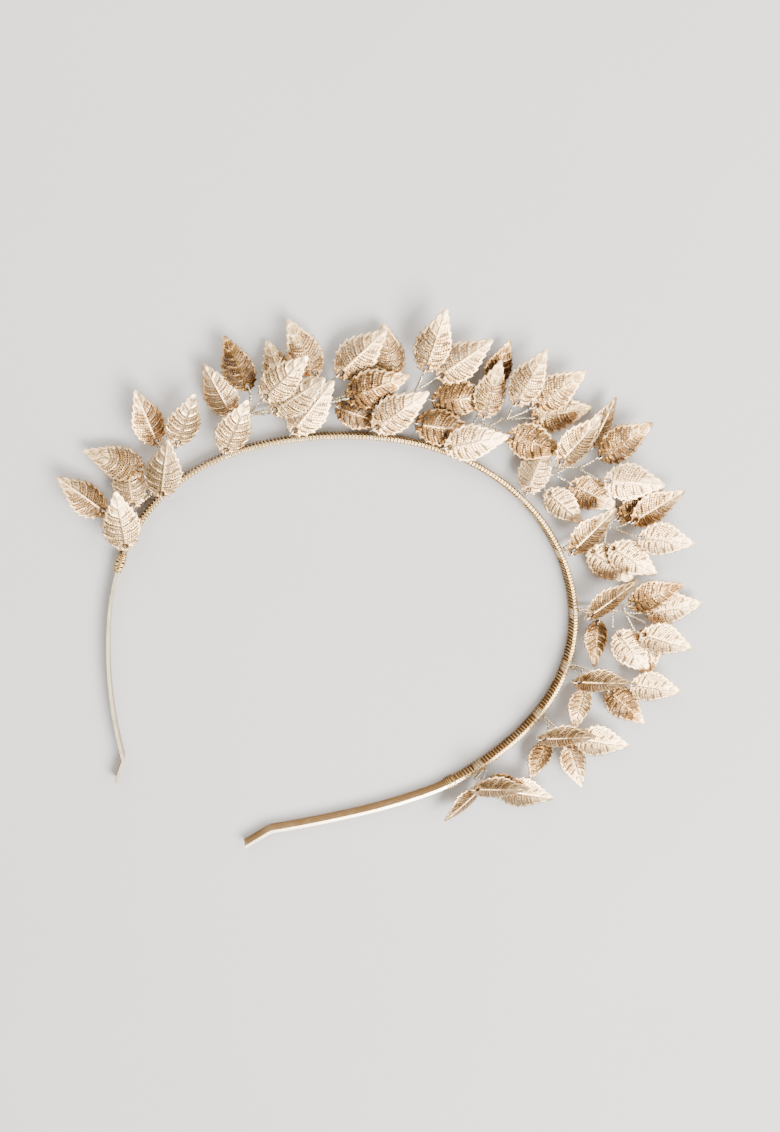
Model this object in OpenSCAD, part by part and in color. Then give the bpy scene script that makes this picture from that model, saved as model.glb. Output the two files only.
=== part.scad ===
// Leaf crown. A flat metal hairband stands on its long edge, bound with fine
// wire between two bare arms. Twelve sprigs of twisted wire leave the binding
// and carry pierced, cupped metal leaves. All sizes are in millimetres.

/* [Band] */
// width of the strip, which stands upright
strip_height = 4.5; // [4:0.25:6]
// thickness of the strip
strip_thickness = 0.9; // [0.8:0.1:1.2]

/* [Binding wire] */
// thickness that the wound wire adds on each side of the strip
wire_size = 0.35; // [0.3:0.05:0.45]
// distance from one turn of the wire to the next
wire_pitch = 1.3; // [1.2:0.1:2]
// extra thickness of the bunch of turns at the left arm
left_bunch = 0.7; // [0.3:0.1:0.8]
// extra thickness of the close turns at the right arm
right_bunch = 0.3; // [0.2:0.1:0.6]

/* [Leaf] */
// length of a leaf from its blunt base to its tip
leaf_length = 19; // [17:0.5:19.5]
// greatest width of a leaf
leaf_width = 10.8; // [9:0.2:12]
// thickness of the leaf metal
leaf_thickness = 0.3; // [0.25:0.05:0.4]
// how far the edges fall below the midrib
leaf_cup = 0.8; // [0.6:0.1:1.4]
// how far the tip droops
leaf_droop = 0.9; // [0.4:0.1:1.2]
// depth of the scallops along the edge
leaf_scallop = 0.3; // [0.1:0.05:0.4]

/* [Sprig wire] */
// radius of a sprig's main stem
stem_radius = 0.55; // [0.4:0.05:0.6]
// radius of the wire to one leaf
twig_radius = 0.4; // [0.3:0.05:0.4]
// radius of the single wire looped through a leaf
loop_radius = 0.2; // [0.15:0.05:0.25]

/* [Hidden] */
// clearance between one piece and the next
gap = 0.12;

// the strip's course from the left tip, over the crown, to the right tip
RUN_LENGTH = 0;
RUN_TURN = 1;
left_tip = [-35, -89];
left_tip_heading = 107;
band_runs = [
    // length, turn in degrees
    [7.0, 0],
    [1.0, 30],
    [21.8, -8.5],
    [19.4, -8],
    [15.8, -11.5],
    [17.5, -19.5],
    [17.5, -21],
    [18.1, -17.5],
    [20.3, -12],
    [20.0, -10],
    [21.6, -15.6],
    [22.3, -19],
    [20.6, -19.2],
    [18.8, -19.4],
    [17.2, -21.4],
    [17.1, -21.8],
    [17.2, -16.4],
    [20.0, -12.6],
    [10.4, -10.4],
    [21.8, -7.2],
    [28.0, -4.2],
    [1.0, 24],
    [8.6, 0]
];

function sum_of(list, i = 0) = i == len(list) ? 0 : list[i] + sum_of(list, i + 1);
band_length = sum_of([for (run = band_runs) run[RUN_LENGTH]]);

// longest straight piece in the strip's bends
path_step = 2.5;

// where the binding starts and ends, measured along the strip
left_bunch_start = 65;
left_bunch_length = 6.5;
right_bunch_end = 317.7;
right_bunch_length = 4;
bunch_pitch = 0.9;
wire_start = left_bunch_start + left_bunch_length + gap;
wire_end = right_bunch_end - right_bunch_length - gap;

// heights over the table
tunnel_bottom = wire_size;
strip_bottom = tunnel_bottom + gap;
strip_top = strip_bottom + strip_height;
tunnel_top = strip_top + gap;
wire_top = tunnel_top + wire_size;
wire_half = strip_thickness / 2 + gap + wire_size;

// one step of the course: x, y, heading, distance
function along(run, at, f) =
    let (length = run[RUN_LENGTH], turn = run[RUN_TURN])
    turn == 0
        ? [
            at[0] + f * length * cos(at[2]),
            at[1] + f * length * sin(at[2]),
            at[2],
            at[3] + f * length
        ]
        : let (radius = length / (turn * PI / 180), heading = at[2] + f * turn)
        [
            at[0] + radius * (sin(heading) - sin(at[2])),
            at[1] - radius * (cos(heading) - cos(at[2])),
            heading,
            at[3] + f * length
        ];

// the point of the course at a distance from the left tip
course_start = [left_tip[0], left_tip[1], left_tip_heading, 0];
function course(distance, i = 0, at = course_start) =
    let (left = distance - at[3], run = band_runs[i])
    left <= run[RUN_LENGTH] || i == len(band_runs) - 1
        ? along(run, at, left / run[RUN_LENGTH])
        : course(distance, i + 1, along(run, at, 1));

// every point of the strip's course, run by run
function strip_course(i = 0, at = course_start) =
    i == len(band_runs)
        ? []
        : let (
            run = band_runs[i],
            steps = ceil(run[RUN_LENGTH] / path_step),
            points = [for (k = [1 : steps]) along(run, at, k / steps)]
        )
        concat(points, strip_course(i + 1, points[steps - 1]));

// evenly spaced points of the course between two distances
function part_course(from, to, step) =
    let (steps = ceil((to - from) / step))
    [for (k = [0 : steps]) course(from + (to - from) * k / steps)];

// a point beside the course, positive on the outside of the crown
function beside(p, offset) = [p[0] - offset * sin(p[2]), p[1] + offset * cos(p[2])];

// an upright ribbon along a course, its half thickness given point by point
module ribbon(points, halves, bottom, top) {
    last = len(points) - 1;
    translate([0, 0, bottom])
        linear_extrude(height = top - bottom)
            polygon(concat(
                [for (i = [0 : last]) beside(points[i], halves[i])],
                [for (i = [last : -1 : 0]) beside(points[i], -halves[i])]
            ));
}

module even_ribbon(points, thickness, bottom, top) {
    ribbon(points, [for (p = points) thickness / 2], bottom, top);
}

// wound wire: a sleeve whose sides rise and fall once a turn
tunnel_overrun = 1;
turn_relief = 0.12;
module winding(from, to, pitch, bunch) {
    turns = round((to - from) / pitch);
    last = 2 * turns;
    points = [for (k = [0 : last]) course(from + (to - from) * k / last)];
    halves = [
        for (k = [0 : last])
            wire_half + bunch * sin(180 * k / last) - (k % 2 == 0 ? turn_relief : 0)
    ];
    tunnel = part_course(from - tunnel_overrun, to + tunnel_overrun, path_step);
    difference() {
        ribbon(points, halves, 0, wire_top);
        even_ribbon(tunnel, strip_thickness + 2 * gap, tunnel_bottom, tunnel_top);
    }
}

// the leaf lies along u, its hole at the origin, v across it and n over it
leaf_teeth = 6;
outline_points = 2 * leaf_teeth + 1;
hole_sides = 6;
hole_radius = 0.65;
hole_inset = 1.5;
first_tooth = 0.15;
tooth_spacing = 0.14;
first_rib = 0.125;
rib_spacing = 0.12;
rib_rise = 0.12;
fold_depth = 0.15;
widest_share = 0.4;
base_roundness = 0.55;
tip_bluntness = 0.26;

// share of the length at which tooth or notch j stands, teeth being even
function outline_share(j) = first_tooth + tooth_spacing * (j / 2 - 1);

// the blade is round at its base and runs hollow to a blunt tip
function base_part(share) = pow(sin(90 * share / widest_share), base_roundness);
function tip_part(way) =
    (1 - tip_bluntness) * pow(cos(90 * way), 2) + tip_bluntness * sqrt(1 - pow(way, 6));
function half_width(share) =
    leaf_width / 2 * (share < widest_share
        ? base_part(share)
        : tip_part((share - widest_share) / (1 - widest_share)));

// the sheet bends down to its edges and to its tip
function sheet(share, across) =
    let (side = across / (leaf_width / 2))
    -leaf_cup * side * side - leaf_droop * share * share;

function leaf_point(share, across, rise) =
    [leaf_length * share - hole_inset, across, sheet(share, across) + rise];

function outline_point(j, side) =
    let (
        share = outline_share(j),
        tooth = j % 2 == 0 ? leaf_scallop : -leaf_scallop / 2,
        across = side * (half_width(share) + tooth)
    )
    leaf_point(share, across, j % 2 == 0 ? rib_rise : -fold_depth);

// middle surface: base, hole, midrib, tip, then the two edges
leaf_middle = concat(
    [leaf_point(0, 0, 0)],
    [
        for (k = [0 : hole_sides - 1])
            [hole_radius * cos(360 * k / hole_sides), hole_radius * sin(360 * k / hole_sides), 0]
    ],
    [for (i = [1 : leaf_teeth]) leaf_point(first_rib + rib_spacing * (i - 1), 0, rib_rise)],
    [leaf_point(1, 0, 0)],
    [for (j = [1 : outline_points]) outline_point(j, 1)],
    [for (j = [1 : outline_points]) outline_point(j, -1)]
);
sheet_points = len(leaf_middle);
leaf_solid_points = concat(
    [for (p = leaf_middle) p + [0, 0, leaf_thickness / 2]],
    [for (p = leaf_middle) p - [0, 0, leaf_thickness / 2]]
);

// places in that list
BASE = 0;
HOLE = 1;
RIB = HOLE + hole_sides;
TIP = RIB + leaf_teeth;
LEFT_EDGE = TIP + 1;
RIGHT_EDGE = LEFT_EDGE + outline_points;
rib_row = [for (i = [0 : leaf_teeth - 1]) RIB + i];
left_axis = concat([BASE, HOLE + 3, HOLE + 2, HOLE + 1, HOLE], rib_row, [TIP]);
right_axis = concat([BASE, HOLE + 3, HOLE + 4, HOLE + 5, HOLE], rib_row, [TIP]);
left_edge = [for (j = [0 : outline_points - 1]) LEFT_EDGE + j];
right_edge = [for (j = [0 : outline_points - 1]) RIGHT_EDGE + j];

// order in which the two rows of points are joined, so a rib meets its tooth
axis_order = concat(
    [0, 0.4, 0.8, 1.2, 1.6],
    [for (i = [1 : leaf_teeth]) 2 * i],
    [outline_points + 1]
);
edge_order = [for (j = [1 : outline_points]) j];

function zip(axis, edge, i = 0, j = 0) =
    i == len(axis) - 1 && j == len(edge) - 1
        ? []
        : j == len(edge) - 1 || (i < len(axis) - 1 && axis_order[i + 1] <= edge_order[j + 1])
            ? concat([[axis[i], axis[i + 1], edge[j]]], zip(axis, edge, i + 1, j))
            : concat([[axis[i], edge[j + 1], edge[j]]], zip(axis, edge, i, j + 1));

function flipped(faces) = [for (f = faces) [f[0], f[2], f[1]]];
function shifted(faces, by) = [for (f = faces) [for (v = f) v + by]];

left_sheet = zip(left_axis, left_edge);
right_sheet = zip(right_axis, right_edge);
edge_loop = concat(
    [BASE],
    right_edge,
    [TIP],
    [for (j = [outline_points - 1 : -1 : 0]) LEFT_EDGE + j]
);
hole_loop = [for (k = [hole_sides - 1 : -1 : 0]) HOLE + k];

// a wall from the upper to the lower surface along a loop
function wall(loop, lower) = [
    for (k = [0 : len(loop) - 1])
        let (a = loop[k], b = loop[(k + 1) % len(loop)])
        each [[a, b, b + lower], [a, b + lower, a + lower]]
];

leaf_faces = concat(
    flipped(left_sheet),
    right_sheet,
    shifted(left_sheet, sheet_points),
    shifted(flipped(right_sheet), sheet_points),
    wall(edge_loop, sheet_points),
    wall(hole_loop, sheet_points)
);

// columns of a sprig's leaf table. The hole is placed on the plan, its height
// is taken from the top of the binding, heading is the way the tip points,
// lift raises the tip, roll raises the left edge, size is the share of the full
// leaf, and fork is the point of the stem where the leaf's wire leaves it
LEAF_X = 0;
LEAF_Y = 1;
LEAF_RISE = 2;
LEAF_HEADING = 3;
LEAF_LIFT = 4;
LEAF_ROLL = 5;
LEAF_SIZE = 6;
LEAF_FORK = 7;

function leaf_origin(leaf) = [leaf[LEAF_X], leaf[LEAF_Y], wire_top + leaf[LEAF_RISE]];

// directions of u, v and n of a placed leaf
function leaf_axes(leaf) =
    let (
        h = leaf[LEAF_HEADING],
        l = leaf[LEAF_LIFT],
        r = leaf[LEAF_ROLL],
        u = [cos(h) * cos(l), sin(h) * cos(l), sin(l)],
        v = [-sin(h), cos(h), 0],
        n = cross(u, v)
    )
    [u, cos(r) * v + sin(r) * n, cos(r) * n - sin(r) * v];

function placed(leaf, p) =
    let (axes = leaf_axes(leaf), size = leaf[LEAF_SIZE])
    leaf_origin(leaf) + size * p[0] * axes[0] + size * p[1] * axes[1] + p[2] * axes[2];

// all leaves of one sprig, each a closed solid by itself
module leaf_group(leaves) {
    count = len(leaf_solid_points);
    polyhedron(
        points = [for (leaf = leaves) each [for (p = leaf_solid_points) placed(leaf, p)]],
        faces = [for (i = [0 : len(leaves) - 1]) each shifted(leaf_faces, i * count)]
    );
}

// a tube along points, with a radius for each and one guide direction
function unit(v) = v / norm(v);
function ring(at, direction, guide, radius, sides) =
    let (
        a = unit(guide - (guide * direction) * direction),
        b = cross(direction, a)
    )
    [for (k = [0 : sides - 1]) at + radius * (cos(360 * k / sides) * a + sin(360 * k / sides) * b)];

function tube_points(points, radii, guide, sides) =
    let (last = len(points) - 1)
    [
        for (i = [0 : last])
            let (direction = unit(points[min(i + 1, last)] - points[max(i - 1, 0)]))
            each ring(points[i], direction, guide, radii[i], sides)
    ];

function tube_faces(rings, sides) = concat(
    [for (i = [0 : rings - 2]) for (k = [0 : sides - 1])
        let (
            a = i * sides + k,
            b = i * sides + (k + 1) % sides
        )
        each [[a, a + sides, b + sides], [a, b + sides, b]]],
    [for (k = [1 : sides - 2]) [0, k, k + 1]],
    [for (k = [1 : sides - 2]) [(rings - 1) * sides, (rings - 1) * sides + k + 1, (rings - 1) * sides + k]]
);

// the wire of one leaf: from its fork, up through the hole and back over the
// blunt base end. It meets the leaf at three places behind the hole: the foot,
// the neck where its two strands part, and the bend over the end
twig_sides = 5;
foot_reach = 2.9;
foot_clear = 0.8;
neck_reach = 1.8;
neck_clear = 0.7;
bend_reach = 2.3;
over_reach = 2;
loop_place = -0.2;
loop_rise = 0.62;

// wires that leave one fork start a little apart and are stacked in the order
// of their leaves' heights
twig_spread = 0.2;
twig_step = 1.05;
function rank(leaf, leaves) = len([
    for (other = leaves)
        if (other[LEAF_FORK] == leaf[LEAF_FORK] && other[LEAF_RISE] < leaf[LEAF_RISE]) 1
]);
function twig_end(leaf) = [
    placed(leaf, [loop_place, 0, -loop_rise]),
    placed(leaf, [loop_place, 0, loop_rise]),
    placed(leaf, [-over_reach, 0, loop_rise]),
    placed(leaf, [-bend_reach, 0, 0])
];
function twig_course(leaf, fork, rank) =
    let (
        foot = placed(leaf, [-foot_reach, 0, -foot_clear]),
        away = unit([foot[0] - fork[0], foot[1] - fork[1], 0]),
        up = stem_radius + twig_radius + gap + rank * twig_step
    )
    concat(
        [
            fork + twig_spread * away + [0, 0, up],
            foot,
            placed(leaf, [-neck_reach, 0, -neck_clear])
        ],
        twig_end(leaf)
    );

// a leaf that sits over the band takes its wire straight up from the binding
first_reach = 1.7;
first_clear = 0.9;
function first_course(leaf, fork) =
    [
        fork + [0, 0, stem_radius + twig_radius + gap],
        [fork[0], fork[1], wire_top + twig_radius + gap],
        placed(leaf, [first_reach, 0, -first_clear]),
        each twig_end(leaf)
    ];
twig_radii = [
    twig_radius,
    twig_radius,
    loop_radius,
    loop_radius,
    loop_radius,
    loop_radius,
    loop_radius
];
twig_rings = len(twig_radii);

// the stem starts beside the binding and runs through the table's points,
// whose heights are taken from the middle of the strip
stem_sides = 6;
strip_middle = (strip_bottom + strip_top) / 2;
function stem_course(root, points) =
    let (
        foot = course(root),
        start = beside(foot, wire_half + stem_radius + gap)
    )
    concat(
        [[start[0], start[1], strip_middle]],
        [for (p = points) [p[0], p[1], strip_middle + p[2]]]
    );

// stem and twigs of one sprig, each a closed solid by itself
module stem_group(root, points, leaves) {
    stem = stem_course(root, points);
    stem_count = len(stem) * stem_sides;
    twig_count = twig_rings * twig_sides;
    twig_list = [
        for (leaf = leaves)
            each tube_points(
                leaf[LEAF_FORK] == 0
                    ? first_course(leaf, stem[0])
                    : twig_course(leaf, stem[leaf[LEAF_FORK]], rank(leaf, leaves)),
                twig_radii,
                leaf_axes(leaf)[1],
                twig_sides
            )
    ];
    polyhedron(
        points = concat(
            tube_points(stem, [for (p = stem) stem_radius], [0, 0, 1], stem_sides),
            twig_list
        ),
        faces = concat(
            tube_faces(len(stem), stem_sides),
            [
                for (i = [0 : len(leaves) - 1])
                    each shifted(tube_faces(twig_rings, twig_sides), stem_count + i * twig_count)
            ]
        )
    );
}

// the twelve sprigs, from the left arm over the crown. A root is the distance
// along the band at which the sprig leaves it.
// stem columns: x, y, height from the strip's middle
// leaf columns: x, y, rise, heading, lift, roll, size, fork
root_1 = 73.5;
stem_1 = [[-77.5, -21, -0.4], [-74.6, -11.4, -0.2]];
leaves_1 = [
    [-72.6, -26.7, 1.8, 131, 18, 8, 0.97, 0],
    [-83.1, -22, 0, 173, 12, 32, 0.88, 1],
    [-81.3, -6.5, 1, 196, -4, 20, 0.9, 2],
    [-77.4, -16.2, -0.4, 132, -8, 5, 0.86, 1]
];

root_2 = 93;
stem_2 = [[-76, -1.5, -0.4], [-78, 2.5, 0]];
leaves_2 = [
    [-72.9, -8.6, 2.2, 117, 20, 0, 0.94, 0],
    [-81.9, 2.5, 0.2, 144, 14, 25, 0.87, 2],
    [-77, 5.6, 0.8, 105, 22, 20, 0.88, 2]
];

root_3 = 112.5;
stem_3 = [[-65, 19, -0.4], [-65.2, 23.5, -0.2], [-57, 31, -0.6]];
leaves_3 = [
    [-65.2, 11.5, 1.8, 102, 18, 15, 0.91, 0],
    [-69.9, 20.5, 0, 154, 8, -10, 0.87, 1],
    [-70.5, 29.3, 3.2, 149, -4, 15, 0.85, 2],
    [-65.2, 30, 5.6, 80, 14, 8, 0.92, 2],
    [-60.8, 28.4, 3, 69, 14, 0, 0.95, 2],
    [-59.8, 33.7, -1.4, 146, 0, 5, 0.9, 3],
    [-57.3, 43.2, 0.6, 153, 4, 10, 0.93, 3]
];

root_4 = 132.5;
stem_4 = [[-50, 31, -0.4], [-51, 37, -0.4], [-51.5, 43.5, -0.2]];
leaves_4 = [
    [-53, 27, 1.8, 87, 4, 0, 1, 0],
    [-51.6, 47.3, 1.2, 79, 4, 0, 1, 3],
    [-38.5, 55.5, -1.2, 138, 4, 5, 0.85, 2],
    [-45.8, 43.5, 3.6, 56, 4, 5, 1, 2],
    [-46.3, 39.3, 1.6, 16, 0, -8, 0.8, 1]
];

root_5 = 156;
stem_5 = [[-31.2, 47, -0.4], [-31, 55.8, -0.2]];
leaves_5 = [
    [-35.1, 41.2, 4.6, 69, 4, 5, 1, 0],
    [-33.4, 62.5, 3.6, 109, 12, 0, 0.97, 2],
    [-28.3, 63.5, 2.2, 70, 4, 0, 1, 2],
    [-24.7, 57.3, 0.2, 38, 2, 5, 1, 1],
    [-25, 48.9, 2.2, 27, 0, -6, 0.97, 1]
];

root_6 = 176;
stem_6 = [[-10.5, 56, -0.8], [-6.6, 60.3, -0.4], [-4.5, 64.6, -0.2]];
leaves_6 = [
    [-14.7, 48.6, 4.6, 45, 3, 5, 1, 0],
    [-13.3, 70.2, -1.4, 107, 8, 10, 0.78, 1],
    [-11.1, 62.2, 1.8, 110, 2, 5, 0.9, 2],
    [-6.4, 70.4, 4.2, 97, 4, 0, 0.95, 3],
    [-0.2, 73.2, 2, 69, 2, 5, 1, 3],
    [2.6, 70.5, -0.6, 44, 0, 5, 1, 3],
    [-1.2, 61.8, 3, 18, 0, 4, 1, 2]
];

root_7 = 203.5;
stem_7 = [[15.5, 57.5, -0.6], [19, 61, -0.4], [20.6, 65, -0.4], [23, 66.4, -0.2]];
leaves_7 = [
    [13.2, 52.4, 1.5, 104, -2, -8, 0.9, 0],
    [19.3, 55.2, 1, 355, 3, 10, 0.84, 1],
    [24.5, 61.5, -0.2, 8, -4, 10, 0.97, 2],
    [30.6, 68.5, 4.4, 30, 0, 0, 1.05, 4],
    [15, 64.6, 5.2, 85, 4, 15, 1, 3],
    [21.8, 74.3, -0.6, 102, 8, 25, 0.88, 3],
    [25.4, 73.5, 2.4, 68, 2, 5, 1, 4]
];

root_8 = 225;
stem_8 = [[38.5, 52, -0.6], [42, 57, -0.4], [43.8, 58.5, -0.2]];
leaves_8 = [
    [35.3, 46, 4, 82, 8, 20, 1, 0],
    [46.3, 64.3, 2.2, 65, 2, 15, 1, 3],
    [50.4, 61.2, 4.6, 27, 0, 8, 1, 3],
    [46.2, 53.5, 1.8, 5, 0, 8, 1, 2],
    [42.5, 49.2, -0.8, 0, 2, 8, 1, 1],
    [43.2, 62.3, -0.4, 66, 2, 15, 0.9, 2]
];

root_9 = 245;
stem_9 = [[56.4, 36.0, -0.6], [60.8, 38.4, -0.4], [63.5, 39.7, -0.2]];
leaves_9 = [
    [52.5, 33.3, 4.2, 72, 6, 28, 1, 0],
    [62.2, 43.5, 2.6, 58, 10, 5, 0.95, 3],
    [70.6, 44.7, -0.4, 43, 0, 5, 1, 3],
    [70.8, 38, 4.4, 17, 0, 10, 1, 3],
    [65.4, 33.4, 1.6, 345, 0, 5, 1, 2],
    [73.9, 39.3, -1.4, 318, 0, 10, 0.85, 3],
    [58, 32.5, 0.4, 302, 12, -12, 0.78, 1]
];

root_10 = 262.5;
stem_10 = [[64, 18, -0.6], [68.5, 19, -0.6], [74, 20.5, -0.4]];
leaves_10 = [
    [62.4, 14.6, 5, 29, 0, 30, 1, 0],
    [79.5, 23.5, 2.8, 24, 0, 5, 0.95, 3],
    [76.3, 17, -0.2, 353, 4, 5, 0.92, 3],
    [69, 12.8, -0.4, 290, 10, -5, 0.75, 1]
];

root_11 = 280;
stem_11 = [[66.5, -2, -0.6], [72, -2.5, -0.4]];
leaves_11 = [
    [64.6, -6.1, 5, 32, 0, 30, 1, 0],
    [76.8, -0.6, 1.4, 24, 0, 5, 1, 2],
    [69.4, -7.9, 0.2, 284, 2, -5, 0.72, 1],
    [76.5, -4.5, -0.6, 325, 10, -10, 0.82, 2]
];

root_12 = 304.5;
stem_12 = [[58.6, -28, -0.4], [58.6, -30.4, -0.6]];
leaves_12 = [
    [56.9, -30.8, 5, 29, 0, 30, 1, 0],
    [66.5, -27.5, 1.4, 21, 0, 10, 1, 2],
    [60.4, -32.9, -0.4, 255, 12, -30, 0.78, 2],
    [62.4, -28.6, -1.8, 12, 0, 0, 0.8, 2]
];

// everything is drawn where it was measured and then moved, so that the middle
// of the crown's own outline on the plan is the origin
all_leaves = [
    leaves_1, leaves_2, leaves_3, leaves_4, leaves_5, leaves_6,
    leaves_7, leaves_8, leaves_9, leaves_10, leaves_11, leaves_12
];
band_ends = [
    course_start,
    course(band_length)
];
plan_points = concat(
    [for (end = band_ends) each [beside(end, strip_thickness / 2), beside(end, -strip_thickness / 2)]],
    [for (leaves = all_leaves) for (leaf = leaves) for (p = leaf_solid_points) placed(leaf, p)]
);
plan_x = [for (p = plan_points) p[0]];
plan_y = [for (p = plan_points) p[1]];
plan_middle = [(min(plan_x) + max(plan_x)) / 2, (min(plan_y) + max(plan_y)) / 2];
module centred() {
    translate([-plan_middle[0], -plan_middle[1], 0])
        children();
}

band_color = [0.83, 0.71, 0.52];
wire_color = [0.86, 0.72, 0.44];
leaf_color = [0.93, 0.82, 0.70];

// sprig stems and leaves draw the same way, so each pair takes its tables
module sprig_wires(root, stem, leaves) {
    color(wire_color)
        centred()
            stem_group(root, stem, leaves);
}

module sprig_foliage(leaves) {
    color(leaf_color)
        centred()
            leaf_group(leaves);
}

// the strip with its two outward bends
module band() {
    color(band_color)
        centred()
            even_ribbon(
                concat([course_start], strip_course()),
                strip_thickness,
                strip_bottom,
                strip_top
            );
}

// the even binding over the crown
module band_wrap() {
    color(wire_color)
        centred()
            winding(wire_start, wire_end, wire_pitch, 0);
}

// the thick bunch where the binding starts
module left_winding() {
    color(wire_color)
        centred()
            winding(left_bunch_start, left_bunch_start + left_bunch_length, bunch_pitch, left_bunch);
}

// the close turns where it ends
module right_winding() {
    color(wire_color)
        centred()
            winding(right_bunch_end - right_bunch_length, right_bunch_end, bunch_pitch, right_bunch);
}

module sprig_1_stems() { sprig_wires(root_1, stem_1, leaves_1); }
module sprig_1_leaves() { sprig_foliage(leaves_1); }
module sprig_2_stems() { sprig_wires(root_2, stem_2, leaves_2); }
module sprig_2_leaves() { sprig_foliage(leaves_2); }
module sprig_3_stems() { sprig_wires(root_3, stem_3, leaves_3); }
module sprig_3_leaves() { sprig_foliage(leaves_3); }
module sprig_4_stems() { sprig_wires(root_4, stem_4, leaves_4); }
module sprig_4_leaves() { sprig_foliage(leaves_4); }
module sprig_5_stems() { sprig_wires(root_5, stem_5, leaves_5); }
module sprig_5_leaves() { sprig_foliage(leaves_5); }
module sprig_6_stems() { sprig_wires(root_6, stem_6, leaves_6); }
module sprig_6_leaves() { sprig_foliage(leaves_6); }
module sprig_7_stems() { sprig_wires(root_7, stem_7, leaves_7); }
module sprig_7_leaves() { sprig_foliage(leaves_7); }
module sprig_8_stems() { sprig_wires(root_8, stem_8, leaves_8); }
module sprig_8_leaves() { sprig_foliage(leaves_8); }
module sprig_9_stems() { sprig_wires(root_9, stem_9, leaves_9); }
module sprig_9_leaves() { sprig_foliage(leaves_9); }
module sprig_10_stems() { sprig_wires(root_10, stem_10, leaves_10); }
module sprig_10_leaves() { sprig_foliage(leaves_10); }
module sprig_11_stems() { sprig_wires(root_11, stem_11, leaves_11); }
module sprig_11_leaves() { sprig_foliage(leaves_11); }
module sprig_12_stems() { sprig_wires(root_12, stem_12, leaves_12); }
module sprig_12_leaves() { sprig_foliage(leaves_12); }

band();
band_wrap();
left_winding();
right_winding();
sprig_1_stems();
sprig_1_leaves();
sprig_2_stems();
sprig_2_leaves();
sprig_3_stems();
sprig_3_leaves();
sprig_4_stems();
sprig_4_leaves();
sprig_5_stems();
sprig_5_leaves();
sprig_6_stems();
sprig_6_leaves();
sprig_7_stems();
sprig_7_leaves();
sprig_8_stems();
sprig_8_leaves();
sprig_9_stems();
sprig_9_leaves();
sprig_10_stems();
sprig_10_leaves();
sprig_11_stems();
sprig_11_leaves();
sprig_12_stems();
sprig_12_leaves();
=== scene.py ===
import math
import random

import bpy
import numpy as np
from mathutils import Matrix, Vector


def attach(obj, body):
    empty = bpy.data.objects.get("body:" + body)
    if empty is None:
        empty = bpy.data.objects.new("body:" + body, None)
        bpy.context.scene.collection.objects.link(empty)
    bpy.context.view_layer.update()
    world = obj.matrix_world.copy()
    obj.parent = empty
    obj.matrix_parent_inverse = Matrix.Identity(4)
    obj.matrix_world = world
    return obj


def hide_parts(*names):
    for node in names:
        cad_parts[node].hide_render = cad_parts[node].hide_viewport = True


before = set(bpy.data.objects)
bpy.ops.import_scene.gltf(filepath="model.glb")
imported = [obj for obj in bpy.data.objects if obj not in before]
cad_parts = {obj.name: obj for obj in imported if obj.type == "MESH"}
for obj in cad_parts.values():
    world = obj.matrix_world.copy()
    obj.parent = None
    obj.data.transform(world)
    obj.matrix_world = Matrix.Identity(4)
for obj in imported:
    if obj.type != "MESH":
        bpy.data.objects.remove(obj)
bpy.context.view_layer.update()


# Camera. It looks down on the lying crown from the photograph's side, rolled so
# that the band's two bare ends point to the lower left. Its places are
# millimetres on the plan where the crown was measured, as are those below.
mm = 0.001
plan_middle = np.array((-1.821, 0.326))
photo_height_px = 1132
camera_distance_px = 1105
camera_place = Vector((-98.7, 43.4, 314.7))
camera_target = Vector((-5.0, 10.0, 0.0))
camera_roll = math.radians(145)
sensor_width = 36
nearest_seen = 10
farthest_seen = 5000

camera = bpy.data.objects.new("camera", bpy.data.cameras.new("camera"))
bpy.context.scene.collection.objects.link(camera)
camera.data.sensor_fit = "AUTO"
camera.data.sensor_width = sensor_width
camera.data.lens = sensor_width * camera_distance_px / photo_height_px
camera.data.clip_start = nearest_seen * mm
camera.data.clip_end = farthest_seen * mm
forward = (camera_target - camera_place).normalized()
level_right = forward.cross(Vector((0, 0, 1))).normalized()
level_up = level_right.cross(forward)
right = math.cos(camera_roll) * level_right + math.sin(camera_roll) * level_up
up = math.cos(camera_roll) * level_up - math.sin(camera_roll) * level_right
camera.matrix_world = Matrix((right, up, -forward)).transposed().to_4x4()
camera.location = (camera_place - Vector((*plan_middle, 0))) * mm
bpy.context.scene.camera = camera


# Floor. A sheet of smooth pale paper that the crown lies on, with no pattern
# but a faint unevenness of tone.
def linear(color):
    parts = [int(color[i : i + 2], 16) / 255 for i in (1, 3, 5)]
    parts = [c / 12.92 if c <= 0.04045 else ((c + 0.055) / 1.055) ** 2.4 for c in parts]
    return (*parts, 1.0)


def add_node(material, kind, inputs=None, **settings):
    node = material.node_tree.nodes.new(kind)
    for name, value in settings.items():
        setattr(node, name, value)
    for name, value in (inputs or {}).items():
        if isinstance(value, bpy.types.NodeSocket):
            material.node_tree.links.new(value, node.inputs[name])
        else:
            node.inputs[name].default_value = value
    return node


def new_material(name):
    material = bpy.data.materials.new(name)
    material.use_nodes = True
    return material


def finish_material(material, inputs):
    """Sets or links the shader's own inputs."""
    shader = material.node_tree.nodes["Principled BSDF"]
    for name, value in inputs.items():
        if isinstance(value, bpy.types.NodeSocket):
            material.node_tree.links.new(value, shader.inputs[name])
        else:
            shader.inputs[name].default_value = value


def mesh_object(name, points, faces, material):
    mesh = bpy.data.meshes.new(name)
    mesh.from_pydata([tuple(p) for p in points], [], faces)
    mesh.validate()
    mesh.materials.append(material)
    thing = bpy.data.objects.new(name, mesh)
    bpy.context.scene.collection.objects.link(thing)
    return thing


floor_half = 4.0
floor_drop = 0.02
tone_patch = 110.0
paper = new_material("smooth_matt_paper")
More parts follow.
